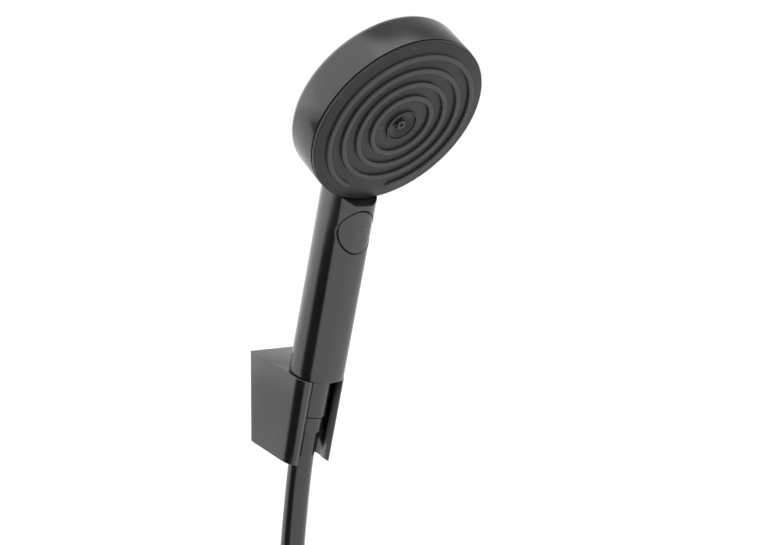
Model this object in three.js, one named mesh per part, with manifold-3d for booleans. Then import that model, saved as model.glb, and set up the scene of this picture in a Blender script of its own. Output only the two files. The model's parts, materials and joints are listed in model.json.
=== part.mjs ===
// Handheld shower set: a wall holder, a handset with a round spray head and a selector button,
// and its hose. Millimetres, +Z up, the wall is the plane Y = 0 and the object stands out to -Y.

import * as THREE from 'three';
import { mergeVertices } from 'three/addons/utils/BufferGeometryUtils.js';
import Module from 'manifold-3d';

const wasm = await Module();
wasm.setup();

// ---- Driving dimensions ------------------------------------------------------------------

const GAP = 0.3;                     // between pieces that touch in the real object
const RUN = 0.08;                    // radial clearance of a piece that turns or slides

const TILT = THREE.MathUtils.degToRad(15.5);        // handle leans away from the wall
const HEAD_PITCH = THREE.MathUtils.degToRad(23);    // spray face against the handle

const HANDLE_HALF = 14.4;            // half width of the rounded square handle
const HANDLE_POWER = 2.6;            // squareness of that section
const HANDLE_WALL = 2.5;
const HEAD_UP = 152.4;               // spray face centre, along the handle
const HEAD_OUT = 32.3;               // and in front of the handle's axis

const HEAD_RADIUS = 52.5;
const HEAD_WALL = 2.8;
const HEAD_EDGE = 4;                 // rounding where the side meets the back
const HEAD_SIDE_BACK = 28.7;         // depth of the side, behind the spray face
const HEAD_DOME = 5.2;               // rise of the back over that side
const FACE_RIM_DEPTH = 5.9;          // how far the spray plate's rim drops back
const FACE_SHADOW_GAP = 0.5;
const FACE_FLAT_RADIUS = 46.5;
const FACE_LAND = 2;                 // the plate lies this far behind the foremost plane
const FACE_THICKNESS = 2.2;
const FACE_CROWN = 0.7;              // fall of the face at the outer ring
const FACE_EDGE_FALL = 0.5;          // fall of the plate from there to its rounded edge
const FACE_EDGE_ROUND = 0.8;
const RING_RADII = [18.2, 26.8, 35.4, 44];
const RING_WIDTH = 2.8;
const RING_CREST = 0.45;             // crests of the nozzle rings, behind the foremost plane
const RING_SEAT = 0.9;               // channel each ring sits in
const OUTER_RING_BREAK = THREE.MathUtils.degToRad(31);

const CUP_RADIUS = 8.4;              // dished boss in the middle of the spray face
const CUP_RIM = 1.1;
const CUP_RIM_FRONT = 0.7;
const CUP_DEPTH = 5;
const SCREW_RADIUS = 2;

const BUTTON_UP = 88;                // button centre along the handle
const BUTTON_RADIUS = 11.9;
const BUTTON_GAP = 0.35;
const BUTTON_TRAVEL = 2.6;
const STEM_RADIUS = 2.6;
const HOUSING_RADIUS = 10.9;
const HOUSING_FRONT = 5.6;
const HOUSING_BACK = 9.4;
const HOUSING_SHOULDER = 5.5;
const HOUSING_WALL = 2.2;
const STEM_END = -0.6;

const UPPER_TUBE_RADIUS = 2.6;
const UPPER_TUBE_BACK = 5.6;
const UPPER_TUBE_TOP = 117.5;
const LOWER_TUBE_RADIUS = 6;
const LOWER_TUBE_BACK = 2.2;

const HOLDER_HALF = 15.9;
const HOLDER_FRONT = 13.3;
const HOLDER_HEIGHT = 50.5;          // along the handle
const HOLDER_BACK = 39.4;            // handle axis to the wall, at the holder's top
const BORE_RADIUS = 12.2;
const SLOT_HALF = 11.1;
const SEAT_GAP = 0.2;
const BRACKET_WIDTH = 23;
const BRACKET_HEIGHT = 40;
const BRACKET_DEPTH = 6;
const BRACKET_HOLE_RADIUS = 2.6;
const BRACKET_HOLE_PITCH = 24;

const NUT_RADIUS = 9.4;
const NUT_LENGTH = 21.6;
const SPIGOT_RADIUS = 11.9;
const SPIGOT_LENGTH = 1.2;
const FERRULE_RADIUS = 8.4;
const FERRULE_LENGTH = 9;
const HOSE_RADIUS = 7;
const THREAD_RADIUS = 8.1;
const BORE_IN_THREAD = 5.6;
const THREAD_LENGTH = 11;
const THREAD_TOP = 3;
const SWIVEL_NECK = 5.2;

const COIL_RADIUS = 75;              // to the middle of the hose in the coil
const COIL_LAYERS = 3;
const COIL_LAYER_PITCH = 14.4;
const COIL_CENTRE = new THREE.Vector3(2.5, -29.8, -244);
const FAR_NUT_RADIUS = 11.5;
const FAR_NUT_LENGTH = 15;
const FAR_FERRULE_LENGTH = 16;
const FAR_END_ANGLE = THREE.MathUtils.degToRad(-30.5);
const TIE_ANGLE = THREE.MathUtils.degToRad(25);

// The hose's middle line from its foot in the ferrule to the coil, in the wall's frame.
const HOSE_POINTS = [
  [0, -28.33, -24.62],
  [0, -26.45, -32],
  [0, -24.75, -40],
  [0, -22.8, -51],
  [0, -20.8, -64],
  [0, -18.8, -78],
  [0, -16.9, -94],
  [0, -15.8, -110],
  [1.2, -15.4, -124],
  [4.8, -15.4, -137.4],
  [10, -15.4, -149],
  [15.6, -15.4, -157.5],
];

// ---- Dependent sizes ---------------------------------------------------------------------

const SIN_TILT = Math.sin(TILT);
const COS_TILT = Math.cos(TILT);
const HOLDER_TOP_AT_WALL = HOLDER_BACK * Math.tan(TILT);
const HOLDER_FOOT_AT_WALL =
  (HOLDER_BACK - HOLDER_HEIGHT * SIN_TILT) * Math.tan(TILT) - HOLDER_HEIGHT * COS_TILT;
const SEAT_RISE = -(HOLDER_TOP_AT_WALL + HOLDER_FOOT_AT_WALL) / 2;

const FACE_RADIUS = HEAD_RADIUS - 0.3;
const CASING_FRONT = FACE_RIM_DEPTH + FACE_SHADOW_GAP;
const HEAD_INNER_RADIUS = HEAD_RADIUS - HEAD_WALL;
const HEAD_INNER_BACK = HEAD_SIDE_BACK - HEAD_WALL;
const HANDLE_INNER_HALF = HANDLE_HALF - HANDLE_WALL;
const FACE_BACK = FACE_LAND + FACE_CROWN + FACE_THICKNESS;
const CUP_FLOOR = CUP_DEPTH + GAP;
const CUP_FLOOR_THICKNESS = 2;
const DISTRIBUTOR_FRONT = CUP_FLOOR + CUP_FLOOR_THICKNESS + GAP;
const DISTRIBUTOR_BACK = DISTRIBUTOR_FRONT + 2.4;
const GALLERY_FRONT = DISTRIBUTOR_BACK + GAP;
const GALLERY_BACK = HEAD_INNER_BACK - 1.2;
const GALLERY_RADIUS = HEAD_INNER_RADIUS - 5;
const THREAD_FOOT = -SPIGOT_LENGTH - THREAD_LENGTH;
const NUT_TOP = -SPIGOT_LENGTH - GAP;
const NUT_FOOT = NUT_TOP - NUT_LENGTH;
const FAR_AXIS_Y = -(COIL_LAYERS * COIL_LAYER_PITCH) / 2 - GAP - FAR_NUT_RADIUS;

const ROUND = 26;
const FINE = 48;
const SMALL = 16;

// ---- Materials ---------------------------------------------------------------------------

const finish = (color, roughness, metalness) => new THREE.MeshStandardMaterial({
  color, roughness, metalness,
});
const satinBlack = () => finish(0x353334, 0.38, 0.35);
const faceBlack = () => finish(0x2b2b2b, 0.55, 0);
const siliconeGrey = () => finish(0x4a4a4a, 0.7, 0);
const mouldedWhite = () => finish(0xd9d9d4, 0.5, 0);
const mouldedGrey = () => finish(0x8c8f92, 0.5, 0);
const rubberBlack = () => finish(0x171717, 0.8, 0);
const brass = () => finish(0xb59a5a, 0.35, 0.9);
const steel = () => finish(0xb9bcc0, 0.3, 0.95);

// ---- Shape helpers -----------------------------------------------------------------------

/** Weld vertices, drop empty triangles and make the faces point outward. */
function closed(geometry) {
  const bare = new THREE.BufferGeometry();
  bare.setAttribute('position', geometry.getAttribute('position').clone());
  if (geometry.index) bare.setIndex(geometry.index.clone());
  const welded = mergeVertices(bare, 1e-4);
  const position = welded.getAttribute('position');
  const index = welded.index.array;
  const kept = [];
  let volume = 0;
  const a = new THREE.Vector3();
  const b = new THREE.Vector3();
  const c = new THREE.Vector3();
  for (let i = 0; i < index.length; i += 3) {
    const [p, q, r] = [index[i], index[i + 1], index[i + 2]];
    if (p === q || q === r || r === p) continue;
    kept.push(p, q, r);
    a.fromBufferAttribute(position, p);
    b.fromBufferAttribute(position, q);
    c.fromBufferAttribute(position, r);
    volume += a.dot(b.cross(c));
  }
  if (volume < 0) kept.reverse();
  welded.setIndex(kept);
  return welded;
}

/** Turn a profile of [radius, y] points about Y; it ends on the axis or closes on itself. */
function turned(profile, segments = ROUND) {
  const points = profile.map(([radius, y]) => new THREE.Vector2(radius, y));
  const onAxis = profile[0][0] === 0 && profile.at(-1)[0] === 0;
  if (!onAxis) points.push(points[0].clone());
  return closed(new THREE.LatheGeometry(points, segments));
}

/** The same, about the handle's axis Z, with profile points [radius, z]. */
const turnedUp = (profile, segments = ROUND) => turned(profile, segments).rotateX(Math.PI / 2);

/** A ring of rectangular section with chamfered corners, profile in [radius, y]. */
function ringProfile(inner, outer, low, high, chamfer = 0.25) {
  return [
    [inner, low + chamfer], [inner + chamfer, low], [outer - chamfer, low],
    [outer, low + chamfer], [outer, high - chamfer], [outer - chamfer, high],
    [inner + chamfer, high], [inner, high - chamfer],
  ];
}

/** A solid disc or pin with chamfered corners, profile in [radius, y]. */
function discProfile(radius, low, high, chamfer = 0.25) {
  return [
    [0, low], [radius - chamfer, low], [radius, low + chamfer],
    [radius, high - chamfer], [radius - chamfer, high], [0, high],
  ];
}

/** An O-ring: a round section of the given thickness, centred on [radius, y]. */
function oRingProfile(radius, y, section, sides = 6) {
  return Array.from({ length: sides }, (_, i) => {
    const angle = (i / sides) * 2 * Math.PI;
    return [radius + section * Math.cos(angle), y + section * Math.sin(angle)];
  });
}

/** A rounded square outline: a superellipse of the given squareness. */
function roundedSquare(half, power = HANDLE_POWER, count = 40) {
  const points = [];
  for (let i = 0; i < count; i += 1) {
    const angle = (i / count) * 2 * Math.PI;
    const across = Math.cos(angle);
    const along = Math.sin(angle);
    points.push(new THREE.Vector2(
      half * Math.sign(across) * Math.abs(across) ** (2 / power),
      half * Math.sign(along) * Math.abs(along) ** (2 / power),
    ));
  }
  return new THREE.Shape(points);
}

/** Push a flat outline up along Z from one height to another. */
function prism(shape, low, high, curveSegments = 24) {
  const geometry = new THREE.ExtrudeGeometry(shape, {
    depth: high - low, bevelEnabled: false, curveSegments,
  });
  return closed(geometry.translate(0, 0, low));
}

/** A box between two corners. */
function block(low, high) {
  const size = high.map((value, i) => value - low[i]);
  const middle = high.map((value, i) => (value + low[i]) / 2);
  return closed(new THREE.BoxGeometry(...size).translate(...middle));
}

const toManifold = (geometry) => {
  const source = closed(geometry);
  return new wasm.Manifold(new wasm.Mesh({
    numProp: 3,
    vertProperties: new Float32Array(source.getAttribute('position').array),
    triVerts: new Uint32Array(source.index.array),
  }));
};

function toGeometry(manifold) {
  const mesh = manifold.getMesh();
  const geometry = new THREE.BufferGeometry();
  const corners = new Float32Array(mesh.vertProperties);
  geometry.setAttribute('position', new THREE.BufferAttribute(corners, 3));
  geometry.setIndex([...mesh.triVerts]);
  return geometry;
}

/** Cut every tool geometry out of a base geometry. */
const cut = (base, ...tools) => toGeometry(
  tools.reduce((left, tool) => left.subtract(toManifold(tool)), toManifold(base)),
);

/** Join geometries that overlap into one body. */
const join = (first, ...others) => toGeometry(
  others.reduce((sum, other) => sum.add(toManifold(other)), toManifold(first)),
);

/** Keep only what two geometries share. */
const shared = (first, second) => toGeometry(toManifold(first).intersect(toManifold(second)));

/** A coil spring about Y, as one closed wire. */
function spring(radius, wire, low, high, turns) {
  class Helix extends THREE.Curve {
    getPoint(t, target = new THREE.Vector3()) {
      const angle = t * turns * 2 * Math.PI;
      const y = low + wire + t * (high - low - 2 * wire);
      return target.set(radius * Math.cos(angle), y, radius * Math.sin(angle));
    }
  }
  const section = new THREE.Shape().absarc(0, 0, wire, 0, 2 * Math.PI);
  return closed(new THREE.ExtrudeGeometry(section, {
    steps: turns * 12, curveSegments: 2, bevelEnabled: false, extrudePath: new Helix(),
  }));
}

/** A round bar along a smooth curve through the given points. */
function barAlong(points, radius, steps, sides = 6) {
  const path = new THREE.CatmullRomCurve3(points.map((point) => new THREE.Vector3(...point)));
  const section = new THREE.Shape(Array.from({ length: sides }, (_, i) => {
    const angle = (i / sides) * 2 * Math.PI;
    return new THREE.Vector2(radius * Math.cos(angle), radius * Math.sin(angle));
  }));
  return closed(new THREE.ExtrudeGeometry(section, {
    steps, bevelEnabled: false, extrudePath: path,
  }));
}

// ---- Frames: the wall, the handle, the head, the button ---------------------------------

const part = new THREE.Group();

// Along the handle: Z runs up its axis, -Y is its front.
const alongHandle = new THREE.Group();
alongHandle.position.set(0, -HOLDER_BACK, SEAT_RISE);
alongHandle.rotation.x = TILT;
part.add(alongHandle);

// At the spray face: -Y is the way the water leaves.
const atHead = new THREE.Group();
atHead.position.set(0, -HEAD_OUT, HEAD_UP);
atHead.rotation.x = HEAD_PITCH;
alongHandle.add(atHead);

// At the button: Y runs into the handle from its axis, -Y is the front.
const atButton = new THREE.Group();
atButton.position.set(0, 0, BUTTON_UP);
alongHandle.add(atButton);

const atCoil = new THREE.Group();
atCoil.position.copy(COIL_CENTRE);
part.add(atCoil);

function piece(group, name, geometry, material) {
  const mesh = new THREE.Mesh(geometry, material);
  mesh.name = name;
  group.add(mesh);
  return mesh;
}

part.updateMatrixWorld(true);
const headInHandle = atHead.matrix.clone();
const handleFromWall = alongHandle.matrixWorld.clone().invert();

// ---- Wall holder -------------------------------------------------------------------------

/** Holder outline seen along the handle: a rounded front and straight sides to the wall. */
function holderOutline() {
  const shape = new THREE.Shape();
  const steps = 28;
  const reach = HOLDER_BACK + HOLDER_HEIGHT;
  shape.moveTo(HOLDER_HALF, reach);
  for (let i = 0; i <= steps; i += 1) {
    const angle = -(i / steps) * Math.PI;
    const across = Math.cos(angle);
    const along = Math.sin(angle);
    shape.lineTo(
      HOLDER_HALF * Math.sign(across) * Math.abs(across) ** (2 / HANDLE_POWER),
      -HOLDER_FRONT * Math.abs(along) ** (2 / HANDLE_POWER),
    );
  }
  shape.lineTo(-HOLDER_HALF, reach);
  return shape;
}

function holderBody() {
  const far = 200;
  const behindWall = block([-far, 0, -far], [far, far, far]).applyMatrix4(handleFromWall);
  const bore = turnedUp(discProfile(BORE_RADIUS, -HOLDER_HEIGHT - 1, 1, 0.1), FINE);
  const slot = block([-SLOT_HALF, -far, -HOLDER_HEIGHT - 1], [SLOT_HALF, 0, 1]);
  const recess = block(
    [-BRACKET_WIDTH / 2 - GAP, -BRACKET_DEPTH - GAP, -BRACKET_HEIGHT / 2 - GAP],
    [BRACKET_WIDTH / 2 + GAP, 1, BRACKET_HEIGHT / 2 + GAP],
  ).applyMatrix4(handleFromWall);
  const setScrewHole = turnedUp(discProfile(SCREW_RADIUS + RUN, -HOLDER_HEIGHT, 0, 0.1), SMALL)
    .translate(0, -BRACKET_DEPTH / 2, -BRACKET_HEIGHT / 2 + 1)
    .applyMatrix4(handleFromWall);
  return cut(
    prism(holderOutline(), -HOLDER_HEIGHT, 0),
    behindWall, bore, slot, recess, setScrewHole,
  );
}

function wallBracket() {
  const half = BRACKET_HOLE_PITCH / 2;
  const plate = block(
    [-BRACKET_WIDTH / 2, -BRACKET_DEPTH, -BRACKET_HEIGHT / 2],
    [BRACKET_WIDTH / 2, 0, BRACKET_HEIGHT / 2],
  );
  const hole = (height) => turned([
    [0, -BRACKET_DEPTH - 1], [BRACKET_HOLE_RADIUS + 2.4, -BRACKET_DEPTH - 1],
    [BRACKET_HOLE_RADIUS + 2.4, -BRACKET_DEPTH + 0.6], [BRACKET_HOLE_RADIUS, -BRACKET_DEPTH + 3],
    [BRACKET_HOLE_RADIUS, 1], [0, 1],
  ], SMALL).translate(0, 0, height);
  return cut(plate, hole(half), hole(-half));
}

function setScrew() {
  const top = -BRACKET_HEIGHT / 2 - GAP;
  const length = 4;
  const socket = new THREE.CylinderGeometry(0.9, 0.9, 2.4, 6).rotateX(Math.PI / 2)
    .translate(0, 0, top - length);
  return cut(turnedUp(discProfile(SCREW_RADIUS, top - length, top), SMALL), socket)
    .translate(0, -BRACKET_DEPTH / 2, 0);
}

piece(alongHandle, 'holder_body', holderBody(), satinBlack());
piece(part, 'wall_bracket', wallBracket(), mouldedGrey());
piece(part, 'bracket_set_screw', setScrew(), steel());

// ---- Handset shell: handle and head casing, moulded in one ------------------------------

/** The head's outside in its own frame, without the spray plate. */
function headOutside() {
  const side = HEAD_SIDE_BACK - HEAD_EDGE;
  const rounding = Array.from({ length: 7 }, (_, i) => {
    const angle = (i / 6) * (Math.PI / 2);
    return [
      HEAD_RADIUS - HEAD_EDGE + HEAD_EDGE * Math.cos(angle),
      side + HEAD_EDGE * Math.sin(angle),
    ];
  });
  const dome = Array.from({ length: 7 }, (_, i) => {
    const share = (i + 1) / 7;
    const radius = (HEAD_RADIUS - HEAD_EDGE) * (1 - share);
    return [radius, HEAD_SIDE_BACK + HEAD_DOME * (1 - (1 - share) ** 2)];
  });
  return turned([
    [0, CASING_FRONT], [HEAD_RADIUS - 0.3, CASING_FRONT], [HEAD_RADIUS, CASING_FRONT + 0.3],
    ...rounding, ...dome,
  ], FINE);
}

function headCavity() {
  return turned([
    [0, 0], [HEAD_INNER_RADIUS, 0], [HEAD_INNER_RADIUS, HEAD_INNER_BACK - 2],
    [HEAD_INNER_RADIUS - 2, HEAD_INNER_BACK], [0, HEAD_INNER_BACK],
  ], FINE);
}

/** Room for the spray plate's rim, flared so that the handle's front meets it in a soft lip. */
function rimClearance() {
  const flare = 1.2;
  return turned([
    [0, -40], [FACE_RADIUS + GAP + 2 * flare, -40], [FACE_RADIUS + GAP + flare, -3],
    [FACE_RADIUS + GAP, 1.2], [FACE_RADIUS + GAP, CASING_FRONT], [0, CASING_FRONT],
  ], FINE);
}

/** A slab of the head's frame between two depths, given in the handle's frame. */
const headSlab = (front, back) => block([-80, front, -120], [80, back, 80]).applyMatrix4(headInHandle);

function buttonBore() {
  const radius = BUTTON_RADIUS + BUTTON_GAP;
  return turned([
    [0, -HANDLE_HALF - 5], [radius, -HANDLE_HALF - 5], [radius, -HOUSING_FRONT], [0, -HOUSING_FRONT],
  ], ROUND).translate(0, 0, BUTTON_UP);
}

function handsetShell() {
  const far = 200;
  const tube = prism(roundedSquare(HANDLE_HALF), SEAT_GAP, HEAD_UP - 8);
  const handle = cut(tube, headSlab(HEAD_SIDE_BACK, far), rimClearance().applyMatrix4(headInHandle));
  const outside = join(handle, headOutside().applyMatrix4(headInHandle));
  const handleHollow = prism(roundedSquare(HANDLE_INNER_HALF), -1, BUTTON_UP + BUTTON_RADIUS);
  const neck = shared(
    prism(roundedSquare(HANDLE_INNER_HALF), BUTTON_UP, HEAD_UP - 12),
    headSlab(CASING_FRONT + HEAD_WALL, HEAD_INNER_BACK),
  );
  return cut(
    outside, headCavity().applyMatrix4(headInHandle), handleHollow, neck, buttonBore(),
  );
}

piece(alongHandle, 'handset_shell', handsetShell(), satinBlack());

// ---- Spray head --------------------------------------------------------------------------

/** Fall of the crowned face towards its edge. */
const crown = (radius) => FACE_CROWN * (radius / RING_RADII.at(-1)) ** 2;

const land = (radius) => FACE_LAND + crown(radius);

function facePlate() {
  const boss = CUP_FLOOR + CUP_FLOOR_THICKNESS;
  const ease = 0.3;
  const profile = [[SCREW_RADIUS + 1.6, boss], [SCREW_RADIUS + 1.6, CUP_FLOOR]];
  profile.push([CUP_RADIUS - 0.8, CUP_FLOOR], [CUP_RADIUS, CUP_FLOOR - 0.9]);
  profile.push([CUP_RADIUS, CUP_RIM_FRONT + ease], [CUP_RADIUS + ease, CUP_RIM_FRONT]);
  profile.push([CUP_RADIUS + CUP_RIM - ease, CUP_RIM_FRONT]);
  profile.push([CUP_RADIUS + CUP_RIM, CUP_RIM_FRONT + ease]);
  profile.push([CUP_RADIUS + CUP_RIM, land(CUP_RADIUS + CUP_RIM)]);
  RING_RADII.forEach((radius) => {
    const inner = radius - RING_WIDTH / 2 - GAP;
    const outer = radius + RING_WIDTH / 2 + GAP;
    const floor = land(radius) + RING_SEAT;
    profile.push([inner - 0.2, land(inner)], [inner, land(inner) + 0.2], [inner, floor]);
    profile.push([outer, floor], [outer, land(outer) + 0.2], [outer + 0.2, land(outer)]);
  });
  const edge = land(FACE_FLAT_RADIUS) + FACE_EDGE_FALL;
  profile.push([FACE_FLAT_RADIUS, land(FACE_FLAT_RADIUS)]);
  for (let i = 0; i <= 4; i += 1) {
    const angle = (i / 4) * (Math.PI / 2);
    profile.push([
      FACE_RADIUS - FACE_EDGE_ROUND * (1 - Math.sin(angle)),
      edge + FACE_EDGE_ROUND * (1 - Math.cos(angle)),
    ]);
  }
  profile.push([FACE_RADIUS, FACE_RIM_DEPTH - 0.2], [FACE_RADIUS - 0.2, FACE_RIM_DEPTH]);
  profile.push([HEAD_INNER_RADIUS - 2.6, FACE_RIM_DEPTH], [HEAD_INNER_RADIUS - 4.2, FACE_BACK + 0.8]);
  profile.push([CUP_RADIUS + 2.4, FACE_BACK], [CUP_RADIUS + 2, boss]);
  const channel = RING_WIDTH + 4 * GAP;
  const fill = outerBreak(channel, 0, land(RING_RADII.at(-1)) - 0.02, FACE_BACK);
  return join(turned(profile, FINE), fill);
}

/** The stretch missing from the outer nozzle ring, between two depths. */
function outerBreak(width, trim, front, back) {
  const radius = RING_RADII.at(-1);
  const half = OUTER_RING_BREAK / 2 + trim / radius;
  const bottom = -Math.PI / 2;
  const shape = new THREE.Shape();
  shape.absarc(0, 0, radius + width / 2, bottom - half, bottom + half, false);
  shape.absarc(0, 0, radius - width / 2, bottom + half, bottom - half, true);
  return prism(shape, 0, back - front, 6).rotateX(Math.PI / 2).translate(0, back, 0);
}

/** A raised ring of soft nozzles, its crest rounded over. */
function nozzleRing(radius) {
  const half = RING_WIDTH / 2;
  const crest = crown(radius) + RING_CREST;
  const back = land(radius) + RING_SEAT - GAP;
  return turned([
    [radius - half, back], [radius - half, crest + 0.9], [radius - half + 0.3, crest + 0.3],
    [radius - 0.6, crest], [radius + 0.6, crest],
    [radius + half - 0.3, crest + 0.3], [radius + half, crest + 0.9], [radius + half, back],
  ], FINE);
}

const outerNozzleRing = () => cut(
  nozzleRing(RING_RADII.at(-1)),
  outerBreak(RING_WIDTH + 2, GAP, -1, FACE_BACK),
);

function distributorPlate() {
  const front = DISTRIBUTOR_FRONT;
  const profile = [[SCREW_RADIUS + 1, DISTRIBUTOR_BACK], [SCREW_RADIUS + 1, front]];
  RING_RADII.slice(0, 3).forEach((radius) => {
    const rib = radius + 4.3;
    profile.push([rib - 0.8, front], [rib - 0.6, FACE_BACK + 1.2], [rib + 0.6, FACE_BACK + 1.2]);
    profile.push([rib + 0.8, front]);
  });
  profile.push([HEAD_INNER_RADIUS - 1.6, front], [HEAD_INNER_RADIUS - 1.6, DISTRIBUTOR_BACK]);
  const ports = RING_RADII.slice(0, 3).flatMap((radius, row) => Array.from({ length: 3 }, (_, i) => {
    const angle = (i / 3 + row / 9) * 2 * Math.PI;
    return new THREE.CylinderGeometry(2, 2, 8, 12)
      .translate((radius - 3) * Math.cos(angle), front, (radius - 3) * Math.sin(angle));
  }));
  return cut(turned(profile, FINE), ...ports);
}

/** Water gallery behind the distributor: a shallow cup, open to the front, on a central boss. */
function galleryPlate() {
  const floor = GALLERY_BACK - 5;
  const wall = 2.4;
  return turned([
    [SCREW_RADIUS + RUN, GALLERY_FRONT], [SCREW_RADIUS + 4, GALLERY_FRONT],
    [SCREW_RADIUS + 4, floor], [GALLERY_RADIUS - wall, floor],
    [GALLERY_RADIUS - wall, GALLERY_FRONT], [GALLERY_RADIUS, GALLERY_FRONT],
    [GALLERY_RADIUS, GALLERY_BACK - 2], [GALLERY_RADIUS - 1.4, GALLERY_BACK],
    [SCREW_RADIUS + RUN, GALLERY_BACK],
  ], ROUND);
}

/** A shallow dish that falls to the middle, around the centre nozzle. */
function centreInsert() {
  const outer = CUP_RADIUS - GAP;
  const eye = SCREW_RADIUS + 1.1;
  return turned([
    [SCREW_RADIUS + 3.4, CUP_DEPTH], [outer - 0.9, CUP_DEPTH], [outer, CUP_DEPTH - 1],
    [outer, 1.9], [outer - 0.4, 1.5], [eye + 1.5, 2.8], [eye + 0.7, 3], [eye, 3], [eye, 3.6],
  ], ROUND);
}

function centreNozzle() {
  return turned([
    [1.1, 3.4], [1.1, 1.5], [1.6, 1.2], [2.2, 1.2], [2.75, 1.7], [2.75, 3.4],
  ], SMALL);
}

function centreScrew() {
  const head = CUP_DEPTH - 1.3;
  const end = GALLERY_BACK - 1;
  return turned([
    [0, head], [SCREW_RADIUS + 0.8, head], [SCREW_RADIUS + 0.8, head + 2.2], [SCREW_RADIUS, head + 2.6],
    [SCREW_RADIUS, end - 0.8], [SCREW_RADIUS - 0.8, end], [0, end],
  ], SMALL);
}

piece(atHead, 'face_plate', facePlate(), faceBlack());
RING_RADII.slice(0, 3).forEach((radius, i) => {
  piece(atHead, `nozzle_ring_${i + 1}`, nozzleRing(radius), siliconeGrey());
});
piece(atHead, 'nozzle_ring_4', outerNozzleRing(), siliconeGrey());
piece(
  atHead, 'face_gasket',
  turned(oRingProfile(HEAD_INNER_RADIUS - 1.3, (FACE_RIM_DEPTH + DISTRIBUTOR_FRONT) / 2, 0.55), FINE),
  rubberBlack(),
);
piece(atHead, 'distributor_plate', distributorPlate(), mouldedWhite());
piece(atHead, 'gallery_plate', galleryPlate(), mouldedGrey());
piece(
  atHead, 'distributor_seal',
  turned(oRingProfile(GALLERY_RADIUS - 3.7, GALLERY_FRONT + 1, 0.9), ROUND), rubberBlack(),
);
piece(atHead, 'centre_insert', centreInsert(), faceBlack());
piece(atHead, 'centre_nozzle', centreNozzle(), siliconeGrey());
piece(atHead, 'centre_screw', centreScrew(), steel());

// ---- Selector button and valve -----------------------------------------------------------

/** The cap's outside follows the handle's front; its stem runs to the valve. */
function buttonCap() {
  const front = -HANDLE_HALF - 1;
  const skirt = -HOUSING_FRONT - BUTTON_TRAVEL - GAP;
  const underside = -HANDLE_HALF + 3.1;
  const blank = turned([
    [0, front], [BUTTON_RADIUS, front], [BUTTON_RADIUS, skirt], [BUTTON_RADIUS - 1.4, skirt],
    [BUTTON_RADIUS - 1.4, underside], [STEM_RADIUS, underside],
    [STEM_RADIUS, STEM_END - 0.4], [STEM_RADIUS - 0.4, STEM_END], [0, STEM_END],
  ], ROUND);
  const handleFront = prism(roundedSquare(HANDLE_HALF - 0.15), -30, 30);
  return shared(blank, handleFront);
}

function selectorHousing() {
  const inside = HOUSING_RADIUS - HOUSING_WALL;
  return turned([
    [STEM_RADIUS + 1.6, -HOUSING_FRONT], [HOUSING_RADIUS, -HOUSING_FRONT],
    [HOUSING_RADIUS, HOUSING_SHOULDER], [HOUSING_RADIUS - 2.7, HOUSING_BACK], [0, HOUSING_BACK],
    [0, HOUSING_BACK - HOUSING_WALL], [inside - 2.5, HOUSING_BACK - HOUSING_WALL],
    [inside, HOUSING_SHOULDER], [inside, -HOUSING_FRONT + 2], [STEM_RADIUS + 1.6, -HOUSING_FRONT + 2],
  ], ROUND);
}

/** The turning valve disc: each press of the button moves it on by one outlet. */
function selectorCam() {
  const front = STEM_END + BUTTON_TRAVEL + GAP;
  const radius = HOUSING_RADIUS - HOUSING_WALL - GAP;
  const ports = Array.from({ length: 3 }, (_, i) => {
    const angle = (i / 3) * 2 * Math.PI;
    return new THREE.CylinderGeometry(1.5, 1.5, 20, 12)
      .translate(radius * 0.6 * Math.cos(angle), 0, radius * 0.6 * Math.sin(angle));
  });
  return cut(turned(discProfile(radius, front, HOUSING_SHOULDER - GAP, 0.4), ROUND), ...ports);
}

function tubeUp(radius, wall, low, high) {
  return turnedUp(ringProfile(radius - wall, radius, low, high, 0.2), SMALL);
}

piece(atButton, 'button_cap', buttonCap(), satinBlack());
piece(
  atButton, 'button_spring',
  spring(6.2, 0.35, -HOUSING_FRONT - 2.6, -HOUSING_FRONT - GAP, 2), steel(),
);
piece(
  atButton, 'stem_seal',
  turned(oRingProfile(STEM_RADIUS + 0.8, -HOUSING_FRONT + 1, 0.5), ROUND), rubberBlack(),
);
piece(atButton, 'selector_housing', selectorHousing(), mouldedWhite());
piece(atButton, 'selector_cam', selectorCam(), mouldedGrey());

// ---- Water way through the handle --------------------------------------------------------

/** Screwed union at the handle's foot: thread below, flange in the handle, check valve inside. */
function inletConnector() {
  return turnedUp([
    [BORE_IN_THREAD, THREAD_FOOT], [THREAD_RADIUS - 0.6, THREAD_FOOT],
    [THREAD_RADIUS, THREAD_FOOT + 0.6], [THREAD_RADIUS, -SPIGOT_LENGTH],
    [SPIGOT_RADIUS, -SPIGOT_LENGTH], [SPIGOT_RADIUS, -GAP / 3],
    [HANDLE_INNER_HALF - 0.8, -GAP / 3], [HANDLE_INNER_HALF - 0.8, THREAD_TOP + 8],
    [8.6, THREAD_TOP + 10], [8.6, THREAD_TOP + 22], [7.6, THREAD_TOP + 22], [7.6, THREAD_TOP],
    [BORE_IN_THREAD, THREAD_TOP - 1.6],
  ], ROUND);
}

function checkValveBody() {
  const low = THREAD_TOP + GAP;
  const outer = 7.6 - GAP;
  return turnedUp([
    [3.6, low], [outer, low], [outer, low + 12], [outer - 1.4, low + 12],
    [outer - 1.4, low + 3.4], [4.6, low + 2],
  ], ROUND);
}

function checkValvePoppet() {
  const low = THREAD_TOP + GAP + 3.2;
  return turnedUp([
    [0, low], [4, low], [5, low + 1], [5, low + 1.8], [1.6, low + 2.2], [1.6, low + 5], [0, low + 5.4],
  ], SMALL);
}

function checkValveSpring() {
  const low = THREAD_TOP + GAP + 7;
  const high = THREAD_TOP + GAP + 12;
  return spring(3.2, 0.3, low + GAP, high, 3).rotateX(Math.PI / 2);
}

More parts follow.
